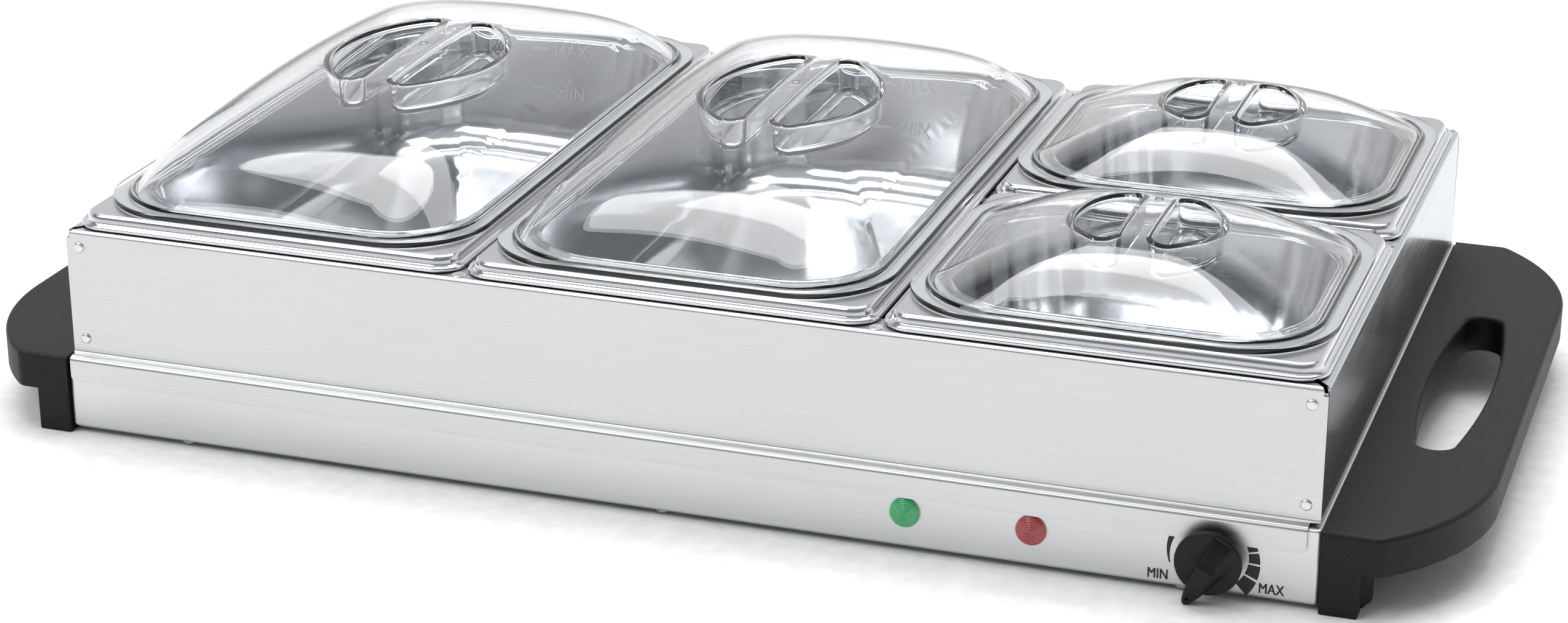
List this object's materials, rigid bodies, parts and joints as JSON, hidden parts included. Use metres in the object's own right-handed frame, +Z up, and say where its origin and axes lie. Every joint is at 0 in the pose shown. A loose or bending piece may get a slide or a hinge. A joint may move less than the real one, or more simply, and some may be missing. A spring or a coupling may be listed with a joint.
{
  "type": "electric buffet server",
  "caption": "Electric buffet server: steel warming base with knob, lamps and side handles, lift-off frame, large and small food pans, and clear domed lids.",
  "frame": {"origin": "middle of the server, on the surface that it stands on", "axes": "+X to the right along the width, -Y out of the control panel, +Z up"},
  "size_m": [0.6462, 0.359, 0.1321],
  "materials": {
    "brushed_steel": "brushed stainless steel, fine straight grain",
    "polished_steel": "deep-drawn stainless steel, satin rim and bright polished inside",
    "galvanised": "galvanised sheet, dull",
    "fastener": "bright steel",
    "black_plastic": "black moulded plastic, fine satin texture",
    "rubber": "black rubber, matte",
    "green_lens": "green translucent plastic with moulded rings",
    "red_lens": "red translucent plastic with moulded rings",
    "ivory_plastic": "heat-proof moulded plastic",
    "element_sheath": "sheathed heating element, dull grey",
    "aluminium": "mill-finish aluminium sheet",
    "insulation": "glass-fibre felt",
    "lead_insulation": "silicone insulated leads",
    "brass": "bare brass",
    "clear_plastic": "clear moulded plastic, glossy"
  },
  "bodies": {
    "base": {"base_shell": "brushed_steel", "bottom_cover": "galvanised", "cover_screws": "fastener", "handle_left": "black_plastic", "handle_right": "black_plastic", "handle_screws": "fastener", "foot_front_left": "rubber", "foot_front_right": "rubber", "foot_back_left": "rubber", "foot_back_right": "rubber", "lens_green": "green_lens", "lens_red": "red_lens", "lamp_green": "ivory_plastic", "lamp_red": "ivory_plastic", "heating_element": "element_sheath", "element_clips": "galvanised", "heat_reflector": "aluminium", "insulation_pad": "insulation", "pad_posts": "fastener", "thermostat_body": "ivory_plastic", "thermostat_bracket": "galvanised", "thermal_fuse": "ivory_plastic", "terminal_block": "ivory_plastic", "internal_leads": "lead_insulation", "earth_terminal": "brass", "cord_gland": "black_plastic"},
    "knob": {"thermostat_shaft": "fastener", "knob": "black_plastic", "knob_clip": "brass"},
    "buffet_frame": {"frame_front": "brushed_steel", "frame_back": "brushed_steel", "frame_left": "brushed_steel", "frame_right": "brushed_steel", "bar_left": "brushed_steel", "bar_right": "brushed_steel", "bar_short": "brushed_steel", "corner_rivets": "fastener", "bar_rivets": "fastener"},
    "pan_left": {"pan_left": "polished_steel"},
    "lid_left": {"lid_left": "clear_plastic"},
    "pan_middle": {"pan_middle": "polished_steel"},
    "lid_middle": {"lid_middle": "clear_plastic"},
    "pan_right_back": {"pan_right_back": "polished_steel"},
    "lid_right_back": {"lid_right_back": "clear_plastic"},
    "pan_right_front": {"pan_right_front": "polished_steel"},
    "lid_right_front": {"lid_right_front": "clear_plastic"}
  },
  "joints": [
    {"name": "knob_turn", "type": "hinge", "parent": "base", "child": "knob", "pos_m": [0.225, -0.165, 0.0175], "axis": [0, 1, 0], "range_deg": [0, 290]},
    {"name": "frame_lift", "type": "slide", "parent": "base", "child": "buffet_frame", "axis": [0, 0, 1], "range_m": [0, 0.08]},
    {"name": "pan_left_lift", "type": "slide", "parent": "buffet_frame", "child": "pan_left", "axis": [0, 0, 1], "range_m": [0, 0.075]},
    {"name": "lid_left_lift", "type": "slide", "parent": "pan_left", "child": "lid_left", "axis": [0, 0, 1], "range_m": [0, 0.05]},
    {"name": "pan_middle_lift", "type": "slide", "parent": "buffet_frame", "child": "pan_middle", "axis": [0, 0, 1], "range_m": [0, 0.075]},
    {"name": "lid_middle_lift", "type": "slide", "parent": "pan_middle", "child": "lid_middle", "axis": [0, 0, 1], "range_m": [0, 0.05]},
    {"name": "pan_right_back_lift", "type": "slide", "parent": "buffet_frame", "child": "pan_right_back", "axis": [0, 0, 1], "range_m": [0, 0.075]},
    {"name": "lid_right_back_lift", "type": "slide", "parent": "pan_right_back", "child": "lid_right_back", "axis": [0, 0, 1], "range_m": [0, 0.05]},
    {"name": "pan_right_front_lift", "type": "slide", "parent": "buffet_frame", "child": "pan_right_front", "axis": [0, 0, 1], "range_m": [0, 0.075]},
    {"name": "lid_right_front_lift", "type": "slide", "parent": "pan_right_front", "child": "lid_right_front", "axis": [0, 0, 1], "range_m": [0, 0.05]}
  ]
}
